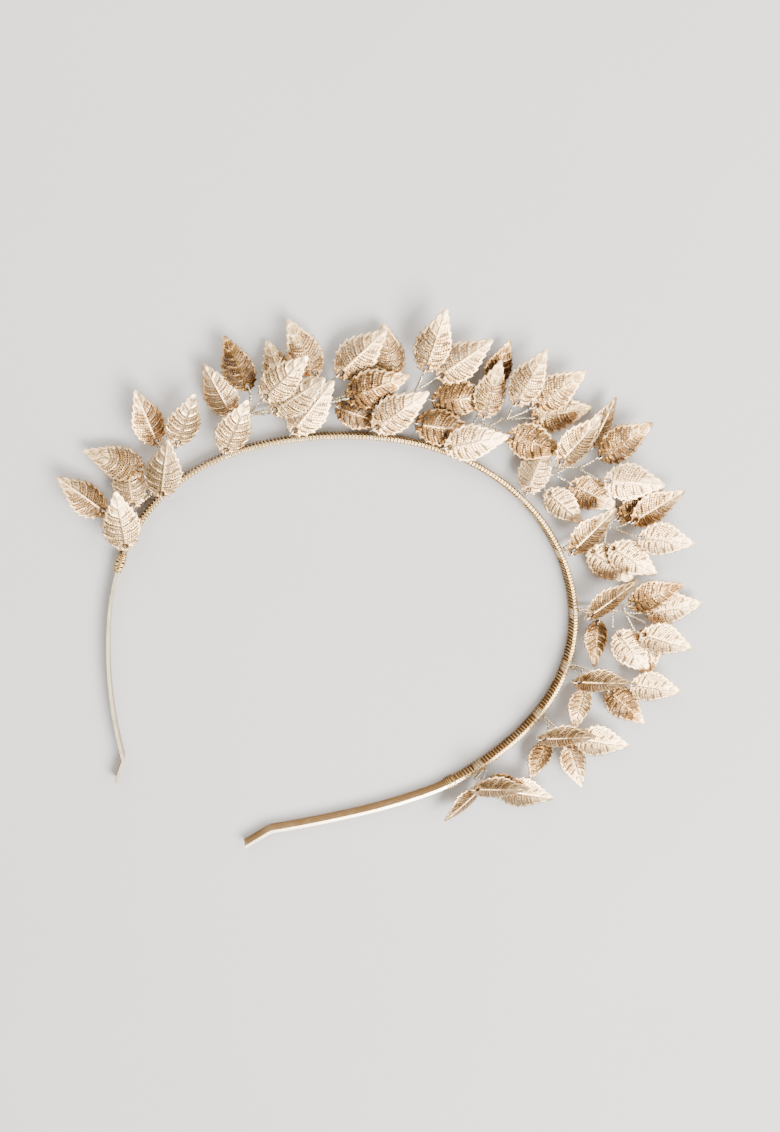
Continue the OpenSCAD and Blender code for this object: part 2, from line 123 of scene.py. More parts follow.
# matt uncoated paper: an even pale sheet with a slow drift of tone
paper_place = add_node(paper, "ShaderNodeTexCoord")
paper_tone = add_node(
    paper,
    "ShaderNodeTexNoise",
    {"Vector": paper_place.outputs["Object"], "Scale": 1 / (tone_patch * mm), "Detail": 3.0},
)
paper_color = add_node(paper, "ShaderNodeValToRGB", {"Fac": paper_tone.outputs["Fac"]})
paper_color.color_ramp.elements[0].color = linear("#CAC7C3")
paper_color.color_ramp.elements[1].color = linear("#D2CFCB")
finish_material(paper, {"Base Color": paper_color.outputs["Color"], "Roughness": 0.85})
floor = mesh_object(
    "floor",
    [
        (-floor_half, -floor_half, -floor_drop * mm),
        (floor_half, -floor_half, -floor_drop * mm),
        (floor_half, floor_half, -floor_drop * mm),
        (-floor_half, floor_half, -floor_drop * mm),
    ],
    [(0, 1, 2, 3)],
    paper,
)


# Light. One soft box stands where the flat leaves of the denser side mirror it
# to the camera, two weaker ones fill the other side and the crown's top, and a
# pale room lights the rest.
soft_boxes = [
    # name, position in metres, side in metres, power in watts
    ("key", (0.50, -0.08, 0.87), 0.64, 31.0),
    ("fill", (-0.60, 0.30, 0.70), 0.60, 8.0),
    ("top", (0.30, 0.62, 0.75), 0.55, 7.0),
]
for name, place, side, power in soft_boxes:
    lamp = bpy.data.objects.new(name, bpy.data.lights.new(name, "AREA"))
    bpy.context.scene.collection.objects.link(lamp)
    lamp.data.shape = "SQUARE"
    lamp.data.size = side
    lamp.data.energy = power
    lamp.location = place
    lamp.rotation_mode = "QUATERNION"
    lamp.rotation_quaternion = Vector(place).to_track_quat("Z", "Y")
    lamp.visible_camera = False
room_strength = 0.36
room = bpy.data.worlds.new("room")
room.use_nodes = True
room_light = room.node_tree.nodes["Background"]
room_light.inputs["Color"].default_value = linear("#F1EFEC")
room_light.inputs["Strength"].default_value = room_strength
bpy.context.scene.world = room


# Band. A spring-steel hairband strip, plated pale gold and standing on its
# long edge. It stays as the CAD solid and takes a drawn, slightly worn finish
# with painted light and shade.
drawn_line = 0.11
drawn_streak = 8.0
wear_patch = 3.5
# places on Y between which the bare arms pass into the bound stretch, where
# the strip takes painted shade under the binding
bare_to = -36.0
bound_from = -28.0
drawn_plate = new_material("drawn_pale_gold_plate")
# drawn steel under thin gold plate: satin streaks along the strip, a painted
# highlight making the upper edge pale, painted shade giving the two faces a deeper,
# duller gold, and painted shade on the strip under the binding, between its turns
drawn_place = add_node(drawn_plate, "ShaderNodeTexCoord")
streaks = (1 / (drawn_streak * mm), 1 / (drawn_streak * mm), 1 / (drawn_line * mm))
drawn_lines_place = add_node(
    drawn_plate,
    "ShaderNodeMapping",
    {"Vector": drawn_place.outputs["Object"], "Scale": streaks},
)
drawn_lines = add_node(
    drawn_plate,
    "ShaderNodeTexNoise",
    {"Vector": drawn_lines_place.outputs["Vector"], "Scale": 1.0, "Detail": 4.0},
)
drawn_wear = add_node(
    drawn_plate,
    "ShaderNodeTexNoise",
    {
        "Vector": drawn_place.outputs["Object"],
        "Scale": 1 / (wear_patch * mm),
        "Detail": 5.0,
        "Roughness": 0.65,
    },
)
drawn_facing = add_node(drawn_plate, "ShaderNodeNewGeometry")
drawn_split = add_node(
    drawn_plate, "ShaderNodeSeparateXYZ", {"Vector": drawn_facing.outputs["Normal"]}
)
# painted highlight and shade: the upward-facing edge is painted paler and the side faces darker
drawn_painted_edge_light = add_node(
    drawn_plate,
    "ShaderNodeMapRange",
    {
        "Value": drawn_split.outputs["Z"],
        "From Min": 0.2,
        "From Max": 0.8,
        "To Min": -0.2,
        "To Max": 0.2,
    },
)
drawn_place_split = add_node(
    drawn_plate, "ShaderNodeSeparateXYZ", {"Vector": drawn_place.outputs["Object"]}
)
# painted shade: the strip is darker along the stretch the binding covers
drawn_painted_binding_shade = add_node(
    drawn_plate,
    "ShaderNodeMapRange",
    {
        "Value": drawn_place_split.outputs["Y"],
        "From Min": bare_to * mm,
        "From Max": bound_from * mm,
        "To Min": 0.0,
        "To Max": 0.3,
    },
)
drawn_even = add_node(
    drawn_plate,
    "ShaderNodeMapRange",
    {
        "Value": drawn_wear.outputs["Fac"],
        "From Min": 0.3,
        "From Max": 0.7,
        "To Min": 0.43,
        "To Max": 0.57,
    },
)
# real wear, less the painted shade under the binding
drawn_wear_and_binding_shade = add_node(
    drawn_plate,
    "ShaderNodeMath",
    {0: drawn_even.outputs["Result"], 1: drawn_painted_binding_shade.outputs["Result"]},
    operation="SUBTRACT",
)
# wear plus the painted edge highlight and face shade
drawn_wear_and_painted_light = add_node(
    drawn_plate,
    "ShaderNodeMath",
    {0: drawn_wear_and_binding_shade.outputs[0], 1: drawn_painted_edge_light.outputs["Result"]},
    operation="ADD",
    use_clamp=True,
)
drawn_color = add_node(drawn_plate, "ShaderNodeValToRGB", {"Fac": drawn_wear_and_painted_light.outputs[0]})
drawn_color.color_ramp.elements[0].position = 0.0
drawn_color.color_ramp.elements[0].color = linear("#5E3A14")
drawn_color.color_ramp.elements[1].position = 0.7
drawn_color.color_ramp.elements[1].color = linear("#F0DDB6")
drawn_color.color_ramp.elements.new(0.3).color = linear("#A07A46")
drawn_rough = add_node(
    drawn_plate,
    "ShaderNodeMapRange",
    {"Value": drawn_lines.outputs["Fac"], "To Min": 0.2, "To Max": 0.38},
)
drawn_bump = add_node(
    drawn_plate,
    "ShaderNodeBump",
    {"Height": drawn_lines.outputs["Fac"], "Strength": 0.12, "Distance": 0.02 * mm},
)
finish_material(
    drawn_plate,
    {
        "Metallic": 1.0,
        "Base Color": drawn_color.outputs["Color"],
        "Roughness": drawn_rough.outputs["Result"],
        "Normal": drawn_bump.outputs["Normal"],
    },
)
for material_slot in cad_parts["band"].material_slots:
    material_slot.material = drawn_plate


# Binding. One fine brass wire, plated yellow gold, is wound round the strip
# from arm to arm and carries the sprigs. It is drawn turn by turn along the
# strip's own course, given as runs of a length in millimetres and a turn.
strip_thickness = 0.9
strip_bottom = 0.47
strip_top = 4.97
left_tip = (-35.0, -89.0)
left_tip_heading = 107.0
band_runs = [
    # length, turn in degrees
    (7.0, 0.0),
    (1.0, 30.0),
    (21.8, -8.5),
    (19.4, -8.0),
    (15.8, -11.5),
    (17.5, -19.5),
    (17.5, -21.0),
    (18.1, -17.5),
    (20.3, -12.0),
    (20.0, -10.0),
    (21.6, -15.6),
    (22.3, -19.0),
    (20.6, -19.2),
    (18.8, -19.4),
    (17.2, -21.4),
    (17.1, -21.8),
    (17.2, -16.4),
    (20.0, -12.6),
    (10.4, -10.4),
    (21.8, -7.2),
    (28.0, -4.2),
    (1.0, 24.0),
    (8.6, 0.0),
]


def course(distance):
    """Point and outward direction of the strip's middle line."""
    x, y = left_tip
    heading = math.radians(left_tip_heading)
    for length, turn in band_runs:
        part = min(distance, length)
        if turn:
            radius = length / math.radians(turn)
            end = heading + math.radians(turn) * part / length
            x += radius * (math.sin(end) - math.sin(heading))
            y -= radius * (math.cos(end) - math.cos(heading))
            heading = end
        else:
            x += part * math.cos(heading)
            y += part * math.sin(heading)
        distance -= part
        if distance <= 0:
            break
    return np.array((x, y)), np.array((-math.sin(heading), math.cos(heading)))


def unit(vector):
    return vector / np.linalg.norm(vector)


# a direction that no wire runs along
slant = (0.3, 0.5, 0.8)


def tube(points, radius, sides):
    """Points and faces of a round wire along a list of points."""
    points = np.asarray(points)
    directions = np.gradient(points, axis=0)
    side = unit(np.cross(directions[0], slant))
    rings = []
    for point, direction in zip(points, directions):
        direction = unit(direction)
        side = unit(side - np.dot(side, direction) * direction)
        other = np.cross(direction, side)
        for k in range(sides):
            angle = 2 * math.pi * k / sides
            rings.append(point + radius * (math.cos(angle) * side + math.sin(angle) * other))
    faces = []
    for i in range(len(points) - 1):
        for k in range(sides):
            a = i * sides + k
            b = i * sides + (k + 1) % sides
            faces.append((a, b, b + sides, a + sides))
    last = (len(points) - 1) * sides
    faces.append(tuple(range(sides - 1, -1, -1)))
    faces.append(tuple(last + k for k in range(sides)))
    return np.array(rings), faces


def joined(parts):
    """Several (points, faces) as one."""
    points = []
    faces = []
    count = 0
    for some_points, some_faces in parts:
        points.append(some_points)
        faces.extend(tuple(v + count for v in face) for face in some_faces)
        count += len(some_points)
    return np.vstack(points), faces


def show(name, points, faces, material, node, slot, sharp=None):
    """A piece of the crown, given in millimetres on the measured plan."""
    placed = np.array(points, float)
    placed[:, :2] -= plan_middle
    piece = mesh_object(name, placed * mm, faces, material)
    piece.data.shade_smooth()
    if sharp is not None:
        piece.data.set_sharp_from_angle(angle=math.radians(sharp))
    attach(piece, "root")
    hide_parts(node)
    return piece


def turns(start, end, count, radius, seed, swell=0.0, slip=0.12):
    """Middle line of a wire wound round the strip.

    It stands out by swell in the middle of its length, and slip is how far a
    turn strays, as a share of the pitch.
    """
    reach = wire_clear + radius
    half = strip_thickness / 2
    diagonal = reach * math.sqrt(0.5)
    middle = (strip_bottom + strip_top) / 2
    loop = [
        (half + reach, strip_bottom),
        (half + reach, middle),
        (half + reach, strip_top),
        (half + diagonal, strip_top + diagonal),
        (half, strip_top + reach),
        (-half, strip_top + reach),
        (-half - diagonal, strip_top + diagonal),
        (-half - reach, strip_top),
        (-half - reach, middle),
        (-half - reach, strip_bottom),
        (-half - diagonal, strip_bottom - diagonal),
        (-half, strip_bottom - reach),
        (half, strip_bottom - reach),
        (half + diagonal, strip_bottom - diagonal),
    ]
    steps = [math.dist(loop[k], loop[(k + 1) % len(loop)]) for k in range(len(loop))]
    shares = [sum(steps[:k]) / sum(steps) for k in range(len(loop))]
    chance = random.Random(seed)
    pitch = (end - start) / count
    line = []
    for turn in range(count):
        slide = chance.uniform(-slip, slip) * pitch
        loosen = chance.uniform(least_loose, 1.0)
        for (out, height), share in zip(loop, shares):
            distance = start + pitch * (turn + share) + slide * math.sin(math.pi * share)
            thicker = swell * loosen * math.sin(math.pi * (turn + share) / count)
            centre, outward = course(distance)
            line.append((*(centre + (out + math.copysign(thicker, out)) * outward), height))
    return line


wire_clear = 0.02
least_loose = 0.6
wound_radius = 0.235
binding_sides = 7
binding_start = 71.62
binding_end = 313.58
binding_count = 238
tarnish_patch = 2.4
gold_wire = new_material("wound_yellow_gold_plated_wire")
# thin bright gold plate on drawn brass: a painted highlight pales the top of every
# turn and painted shade leaves the flanks deep yellow, duller and redder where it has worn
gold_place = add_node(gold_wire, "ShaderNodeTexCoord")
gold_wear = add_node(
    gold_wire,
    "ShaderNodeTexNoise",
    {
        "Vector": gold_place.outputs["Object"],
        "Scale": 1 / (tarnish_patch * mm),
        "Detail": 4.0,
        "Roughness": 0.6,
    },
)
gold_facing = add_node(gold_wire, "ShaderNodeNewGeometry")
gold_split = add_node(
    gold_wire, "ShaderNodeSeparateXYZ", {"Vector": gold_facing.outputs["Normal"]}
)
# painted highlight: the upward-facing top of each turn is painted paler, the flanks darker
gold_painted_top_light = add_node(
    gold_wire,
    "ShaderNodeMapRange",
    {
        "Value": gold_split.outputs["Z"],
        "From Min": 0.2,
        "From Max": 0.85,
        "To Min": -0.1,
        "To Max": 0.22,
    },
)
gold_wear_and_painted_light = add_node(
    gold_wire,
    "ShaderNodeMath",
    {0: gold_wear.outputs["Fac"], 1: gold_painted_top_light.outputs["Result"]},
    operation="ADD",
    use_clamp=True,
)
gold_color = add_node(gold_wire, "ShaderNodeValToRGB", {"Fac": gold_wear_and_painted_light.outputs[0]})
gold_color.color_ramp.elements[0].position = 0.3
gold_color.color_ramp.elements[0].color = linear("#A06C18")
gold_color.color_ramp.elements[1].position = 0.66
gold_color.color_ramp.elements[1].color = linear("#FFDC94")
gold_rough = add_node(
    gold_wire,
    "ShaderNodeMapRange",
    {"Value": gold_wear.outputs["Fac"], "To Min": 0.34, "To Max": 0.18},
)
gold_bump = add_node(
    gold_wire,
    "ShaderNodeBump",
    {"Height": gold_wear.outputs["Fac"], "Strength": 0.15, "Distance": 0.02 * mm},
)
finish_material(
    gold_wire,
    {
        "Metallic": 1.0,
        "Base Color": gold_color.outputs["Color"],
        "Roughness": gold_rough.outputs["Result"],
        "Normal": gold_bump.outputs["Normal"],
    },
)
windings = [
    # name, node, start, end, turns, swell, slip
    ("binding_turns", "band_wrap", binding_start, binding_end, binding_count, 0.0, 0.07),
    ("left_bunch_turns", "left_winding", 65.3, 71.2, 9, 0.6, 0.3),
    ("right_end_turns", "right_winding", 313.95, 317.45, 5, 0.24, 0.2),
]
for seed, (name, node, start, end, count, swell, slip) in enumerate(windings):
    line = turns(start, end, count, wound_radius, seed, swell, slip)
    show(name, *tube(line, wound_radius, binding_sides), gold_wire, node, "wire")


# Sprig wires. Each sprig is a twisted pair of bright pale wire. It is tied
# round the strip between the turns of the binding, forks to every leaf, and
# there goes up through the leaf's hole and back over its end as a single loop.
# A root is the distance along the band at which the sprig leaves it; stem
# points are x, y and height from the strip's middle; a leaf is x, y, rise over
# the binding, heading, lift, roll, size, fork and how brown it looks, judged in
# three steps.
wire_top = 5.44
strip_middle = (strip_bottom + strip_top) / 2
X, Y, RISE, HEADING, LIFT, ROLL, SIZE, FORK, GRADE = range(9)
# the grades set how much painted shade a leaf's patches take, for the dark each leaf lies in and
# reflects
PALE, WARM, SHADED = 0.1, 0.4, 0.8
sprigs = {
    1: (
        73.5,
        [(-77.5, -21, -0.4), (-74.6, -11.4, -0.2)],
        [
            (-72.6, -26.7, 1.8, 131, 18, 8, 0.97, 0, PALE),
            (-83.1, -22, 0, 173, 12, 32, 0.88, 1, WARM),
            (-81.3, -6.5, 1, 196, -4, 20, 0.9, 2, WARM),
            (-77.4, -16.2, -0.4, 132, -8, 5, 0.86, 1, PALE),
        ],
    ),
    2: (
        93,
        [(-76, -1.5, -0.4), (-78, 2.5, 0)],
        [
            (-72.9, -8.6, 2.2, 117, 20, 0, 0.94, 0, PALE),
            (-81.9, 2.5, 0.2, 144, 14, 25, 0.87, 2, WARM),
            (-77, 5.6, 0.8, 105, 22, 20, 0.88, 2, PALE),
        ],
    ),
    3: (
        112.5,
        [(-65, 19, -0.4), (-65.2, 23.5, -0.2), (-57, 31, -0.6)],
        [
            (-65.2, 11.5, 1.8, 102, 18, 15, 0.91, 0, PALE),
            (-69.9, 20.5, 0, 154, 8, -10, 0.87, 1, PALE),
            (-70.5, 29.3, 3.2, 149, -4, 15, 0.85, 2, SHADED),
            (-65.2, 30, 5.6, 80, 14, 8, 0.92, 2, PALE),
            (-60.8, 28.4, 3, 69, 14, 0, 0.95, 2, PALE),
            (-59.8, 33.7, -1.4, 146, 0, 5, 0.9, 3, WARM),
            (-57.3, 43.2, 0.6, 153, 4, 10, 0.93, 3, WARM),
        ],
    ),
    4: (
        132.5,
        [(-50, 31, -0.4), (-51, 37, -0.4), (-51.5, 43.5, -0.2)],
        [
            (-53, 27, 1.8, 87, 4, 0, 1, 0, PALE),
            (-51.6, 47.3, 1.2, 79, 4, 0, 1, 3, WARM),
            (-38.5, 55.5, -1.2, 138, 4, 5, 0.85, 2, WARM),
            (-45.8, 43.5, 3.6, 56, 4, 5, 1, 2, SHADED),
            (-46.3, 39.3, 1.6, 16, 0, -8, 0.8, 1, SHADED),
        ],
    ),
    5: (
        156,
        [(-31.2, 47, -0.4), (-31, 55.8, -0.2)],
        [
            (-35.1, 41.2, 4.6, 69, 4, 5, 1, 0, WARM),
            (-33.4, 62.5, 3.6, 109, 12, 0, 0.97, 2, WARM),
            (-28.3, 63.5, 2.2, 70, 4, 0, 1, 2, WARM),
            (-24.7, 57.3, 0.2, 38, 2, 5, 1, 1, SHADED),
            (-25, 48.9, 2.2, 27, 0, -6, 0.97, 1, SHADED),
        ],
    ),
    6: (
        176,
        [(-10.5, 56, -0.8), (-6.6, 60.3, -0.4), (-4.5, 64.6, -0.2)],
        [
            (-14.7, 48.6, 4.6, 45, 3, 5, 1, 0, PALE),
            (-13.3, 70.2, -1.4, 107, 8, 10, 0.78, 1, SHADED),
            (-11.1, 62.2, 1.8, 110, 2, 5, 0.9, 2, WARM),
            (-6.4, 70.4, 4.2, 97, 4, 0, 0.95, 3, WARM),
            (-0.2, 73.2, 2, 69, 2, 5, 1, 3, WARM),
            (2.6, 70.5, -0.6, 44, 0, 5, 1, 3, WARM),
            (-1.2, 61.8, 3, 18, 0, 4, 1, 2, SHADED),
        ],
    ),
    7: (
        203.5,
        [(15.5, 57.5, -0.6), (19, 61, -0.4), (20.6, 65, -0.4), (23, 66.4, -0.2)],
        [
            (13.2, 52.4, 1.5, 104, -2, -8, 0.9, 0, PALE),
            (19.3, 55.2, 1, 355, 3, 10, 0.84, 1, PALE),
            (24.5, 61.5, -0.2, 8, -4, 10, 0.97, 2, WARM),
            (30.6, 68.5, 4.4, 30, 0, 0, 1.05, 4, PALE),
            (15, 64.6, 5.2, 85, 4, 15, 1, 3, WARM),
            (21.8, 74.3, -0.6, 102, 8, 25, 0.88, 3, WARM),
            (25.4, 73.5, 2.4, 68, 2, 5, 1, 4, SHADED),
        ],
    ),
    8: (
        225,
        [(38.5, 52, -0.6), (42, 57, -0.4), (43.8, 58.5, -0.2)],
        [
            (35.3, 46, 4, 82, 8, 20, 1, 0, WARM),
            (46.3, 64.3, 2.2, 65, 2, 15, 1, 3, WARM),
            (50.4, 61.2, 4.6, 27, 0, 8, 1, 3, PALE),
            (46.2, 53.5, 1.8, 5, 0, 8, 1, 2, PALE),
            (42.5, 49.2, -0.8, 0, 2, 8, 1, 1, PALE),
            (43.2, 62.3, -0.4, 66, 2, 15, 0.9, 2, SHADED),
        ],
    ),
    9: (
        245,
        [(56.4, 36.0, -0.6), (60.8, 38.4, -0.4), (63.5, 39.7, -0.2)],
        [
            (52.5, 33.3, 4.2, 72, 6, 28, 1, 0, WARM),
            (62.2, 43.5, 2.6, 58, 10, 5, 0.95, 3, SHADED),
            (70.6, 44.7, -0.4, 43, 0, 5, 1, 3, PALE),
            (70.8, 38, 4.4, 17, 0, 10, 1, 3, PALE),
            (65.4, 33.4, 1.6, 345, 0, 5, 1, 2, PALE),
            (73.9, 39.3, -1.4, 318, 0, 10, 0.85, 3, WARM),
            (58, 32.5, 0.4, 302, 12, -12, 0.78, 1, SHADED),
        ],
    ),
    10: (
        262.5,
        [(64, 18, -0.6), (68.5, 19, -0.6), (74, 20.5, -0.4)],
        [
            (62.4, 14.6, 5, 29, 0, 30, 1, 0, WARM),
            (79.5, 23.5, 2.8, 24, 0, 5, 0.95, 3, PALE),
            (76.3, 17, -0.2, 353, 4, 5, 0.92, 3, SHADED),
            (69, 12.8, -0.4, 290, 10, -5, 0.75, 1, WARM),
        ],
    ),
    11: (
        280,
        [(66.5, -2, -0.6), (72, -2.5, -0.4)],
        [
            (64.6, -6.1, 5, 32, 0, 30, 1, 0, WARM),
            (76.8, -0.6, 1.4, 24, 0, 5, 1, 2, PALE),
            (69.4, -7.9, 0.2, 284, 2, -5, 0.72, 1, SHADED),
            (76.5, -4.5, -0.6, 325, 10, -10, 0.82, 2, WARM),
        ],
    ),
    12: (
        304.5,
        [(58.6, -28, -0.4), (58.6, -30.4, -0.6)],
        [
            (56.9, -30.8, 5, 29, 0, 30, 1, 0, WARM),
            (66.5, -27.5, 1.4, 21, 0, 10, 1, 2, PALE),
            (60.4, -32.9, -0.4, 255, 12, -30, 0.78, 2, WARM),
            (62.4, -28.6, -1.8, 12, 0, 0, 0.8, 2, SHADED),
        ],
    ),
}


def leaf_axes(leaf):
    """Directions along, across and over a leaf."""
    heading, lift, roll = (math.radians(leaf[k]) for k in (HEADING, LIFT, ROLL))
    level_along = np.array((math.cos(heading), math.sin(heading), 0.0))
    level = np.array((-math.sin(heading), math.cos(heading), 0.0))
    along = math.cos(lift) * level_along + (0, 0, math.sin(lift))
    over = np.cross(along, level)
    return (
        along,
        math.cos(roll) * level + math.sin(roll) * over,
        math.cos(roll) * over - math.sin(roll) * level,
    )


def on_leaf(leaf, points):
    """Points given along, across and over a leaf from its hole, on the measured plan."""
    points = np.atleast_2d(np.array(points, float))
    along, across, over = leaf_axes(leaf)
    origin = np.array((leaf[X], leaf[Y], wire_top + leaf[RISE]))
    return (
        origin
        + leaf[SIZE] * np.outer(points[:, 0], along)
        + leaf[SIZE] * np.outer(points[:, 1], across)
        + np.outer(points[:, 2], over)
    )


stem_radius = 0.56
twig_radius = 0.46
loop_radius = 0.2
wire_gap = 0.12
wire_half = 0.92
foot_place = (-2.9, 0, -0.8)
neck_place = (-1.8, 0, -0.7)
loop_places = [(-0.2, 0, -0.62), (-0.2, 0, 0.62), (-2.0, 0, 0.62), (-2.3, 0, 0)]
first_place = (1.7, 0, -0.9)
tuck_places = [(-1.7, 0, -0.62), (-1.0, 0, -0.62)]
twig_step = 1.05
twig_spread = 0.2
twist_pitch = 2.0
twist_step = 0.3
lay = 0.47
tie_radius = 0.21
tie_turns = 3
tie_slip = 0.05
fine_sides = 6


def rounded(points, rounds=3):
    """A line with its corners cut back, its two ends kept."""
    points = np.asarray(points, float)
    for _ in range(rounds):
        near = 0.75 * points[:-1] + 0.25 * points[1:]
        far = 0.25 * points[:-1] + 0.75 * points[1:]
        cut = np.empty((2 * len(near), 3))
        cut[0::2] = near
        cut[1::2] = far
        points = np.vstack((points[:1], cut[1:-1], points[-1:]))
    return points


def evenly(points, step):
    """The same line with points a step apart."""
    points = np.asarray(points)
    lengths = np.linalg.norm(np.diff(points, axis=0), axis=1)
    at = np.concatenate(((0.0,), np.cumsum(lengths)))
    wanted = np.linspace(0, at[-1], max(2, round(at[-1] / step)) + 1)
    return np.column_stack([np.interp(wanted, at, points[:, k]) for k in range(3)])


def twisted_pair(points, radius, phase):
    """Two wires laid round one another along a line, together of that radius."""
    line = evenly(points, twist_step)
    directions = np.gradient(line, axis=0)
    side = unit(np.cross(directions[0], slant))
    strands = [[], []]
    for i, (point, direction) in enumerate(zip(line, directions)):
        direction = unit(direction)
        side = unit(side - np.dot(side, direction) * direction)
        other = np.cross(direction, side)
        for k, strand in enumerate(strands):
            angle = phase + math.pi * k + 2 * math.pi * twist_step * i / twist_pitch
            around = math.cos(angle) * side + math.sin(angle) * other
            strand.append(point + lay * radius * around)
    return [tube(strand, (1 - lay) * radius, fine_sides) for strand in strands]


def tie(root, seed):
    """Turns of the sprig's own wire round the strip, between those of the binding."""
    pitch = (binding_end - binding_start) / binding_count
    before = math.floor((root - binding_start) / pitch) - tie_turns / 2 + 0.5
    start = binding_start + pitch * (math.floor(before) + 0.5)
    line = turns(start, start + tie_turns * pitch, tie_turns, tie_radius, seed, slip=tie_slip)
    return tube(line, tie_radius, fine_sides)


flash_patch = 2.6
pale_wire = new_material("twisted_bright_pale_gold_wire")
# bright drawn wire under a flash of pale gold: small sharp highlights on the
# crowns of the twist, warmer metal between them
pale_place = add_node(pale_wire, "ShaderNodeTexCoord")
pale_wear = add_node(
    pale_wire,
    "ShaderNodeTexNoise",
    {
        "Vector": pale_place.outputs["Object"],
        "Scale": 1 / (flash_patch * mm),
        "Detail": 4.0,
        "Roughness": 0.6,
    },
)
pale_color = add_node(pale_wire, "ShaderNodeValToRGB", {"Fac": pale_wear.outputs["Fac"]})
pale_color.color_ramp.elements[0].position = 0.3
pale_color.color_ramp.elements[0].color = linear("#E6CFA2")
pale_color.color_ramp.elements[1].position = 0.66
pale_color.color_ramp.elements[1].color = linear("#FDF5E4")
pale_rough = add_node(
    pale_wire,
    "ShaderNodeMapRange",
    {"Value": pale_wear.outputs["Fac"], "To Min": 0.3, "To Max": 0.16},
)
pale_bump = add_node(
    pale_wire,
    "ShaderNodeBump",
    {"Height": pale_wear.outputs["Fac"], "Strength": 0.12, "Distance": 0.02 * mm},
)
finish_material(
    pale_wire,
    {
        "Metallic": 1.0,
        "Base Color": pale_color.outputs["Color"],
        "Roughness": pale_rough.outputs["Result"],
        "Normal": pale_bump.outputs["Normal"],
    },
)

for number, (root, stem_points, leaves) in sprigs.items():
    foot, outward = course(root)
    start = foot + (wire_half + stem_radius + wire_gap) * outward
    stem = [(*start, strip_middle)]
    stem += [(x, y, strip_middle + height) for x, y, height in stem_points]
    stem = np.array(stem)
    parts = [tie(root, number)]
    parts += twisted_pair(rounded(stem), stem_radius, number)
    for index, leaf in enumerate(leaves):
        fork = stem[leaf[FORK]]
        lifted = stem_radius + twig_radius + wire_gap
        if leaf[FORK] == 0:
            top = (fork[0], fork[1], wire_top + twig_radius + wire_gap)
            parts += twisted_pair([fork + (0, 0, lifted), top], twig_radius, index)
            loop = on_leaf(leaf, [first_place, *loop_places, *tuck_places])
            parts.append(tube(rounded([top, *loop]), loop_radius, fine_sides))
        else:
            rank = sum(1 for o in leaves if o[FORK] == leaf[FORK] and o[RISE] < leaf[RISE])
            foot_point = on_leaf(leaf, foot_place)[0]
            away = unit((foot_point - fork) * (1, 1, 0))
            first = fork + twig_spread * away + (0, 0, lifted + rank * twig_step)
            parts += twisted_pair([first, foot_point], twig_radius, index)
            loop = on_leaf(leaf, [foot_place, neck_place, *loop_places, foot_place])
            parts.append(tube(rounded(loop), loop_radius, fine_sides))
    show(
        f"sprig_{number}_twisted_wires",
        *joined(parts),
        pale_wire,
        f"sprig_{number}_stems",
        "wire",
    )


# Leaves. Thin brass sheet, stamped and pierced in one blow: a midrib, side ribs
# that run forward to a toothed rim, an eyelet for the wire at the round base,
# and a net of small holes, drawn coarser than the real ones. All share one shape.
leaf_length = 19.0
leaf_width = 10.8
leaf_thickness = 0.3
leaf_cup = 0.8
leaf_droop = 0.9
hole_inset = 1.5
hole_radius = 0.65
eyelet_radius = 1.1
widest_share = 0.4
base_roundness = 0.55
tip_bluntness = 0.26
net_end_share = 0.95
rib_gaps = 24
main_every = 6
eyelet_gaps = 6
cells_across = 7
midrib_end = 15.4
midrib_half = 0.26
midrib_rise = 0.15
main_rise = 0.1
net_fall = 0.04
rim_width = 0.55
rim_rise = 0.06
rib_bow = 0.09
rib_sweep = 1.35
rib_wave = 0.08
rib_wave_length = 0.8
rib_wave_slant = 2.1
rib_fade_start = 0.15
rib_fade_power = 0.4
rib_end_share = 0.9
rib_end_fade = 0.7
midrib_narrowing = 0.4
midrib_sinking = 0.5
midrib_lean = 0.1
midrib_rises = (midrib_rise, 0.03)
eyelet_rises = (0.04, 0.14)
largest_rim_share = 0.4
net_shift = 0.1
smallest_cell = 0.46
hole_sides = 8
hole_sizes = (0.6, 1.1)
hole_drift_out = 0.12
hole_drift_on = 0.1
hole_half_out = 0.24
hole_half_on = 0.2
hole_share_out = 0.27
hole_share_on = 0.25
# how pale a part is painted, from painted shade at 0 in the pierced ground to
# a painted highlight at 1 on the ribs
hole_relief = 0.15
closed_relief = 0.6
net_reliefs = (0.62, 0.84)
eyelet_reliefs = (0.0, 0.75)
midrib_reliefs = (1.0, 0.75)
rim_relief = 0.95
edge_relief = 0.8
tip_relief = 0.9
tip_middle_share = 0.955
tip_middle_rise = 0.1
tip_shares = (0.97, 0.985, 0.995)
edge_samples = 900
tooth_growth_rows = 5
last_tooth_share = 0.4
tooth_fall_rows = 10
tooth_rows = [
    # how far the edge stands out and how far forward, from tooth to tooth
    (0.4, 0.35),
    (-0.18, 0.0),
    (-0.16, 0.0),
    (-0.04, 0.0),
    (0.14, 0.1),
]


def half_width(share):
    if share < widest_share:
        return leaf_width / 2 * math.sin(math.pi / 2 * share / widest_share) ** base_roundness
    way = (share - widest_share) / (1 - widest_share)
    hollow = math.cos(math.pi / 2 * way) ** 2
    blunt = math.sqrt(max(0.0, 1 - way**6))
    return leaf_width / 2 * ((1 - tip_bluntness) * hollow + tip_bluntness * blunt)


def sheet_point(x, y, rise):
    share = (x + hole_inset) / leaf_length
    side = y / (leaf_width / 2)
    return (x, y, rise - leaf_cup * side * side - leaf_droop * share * share)


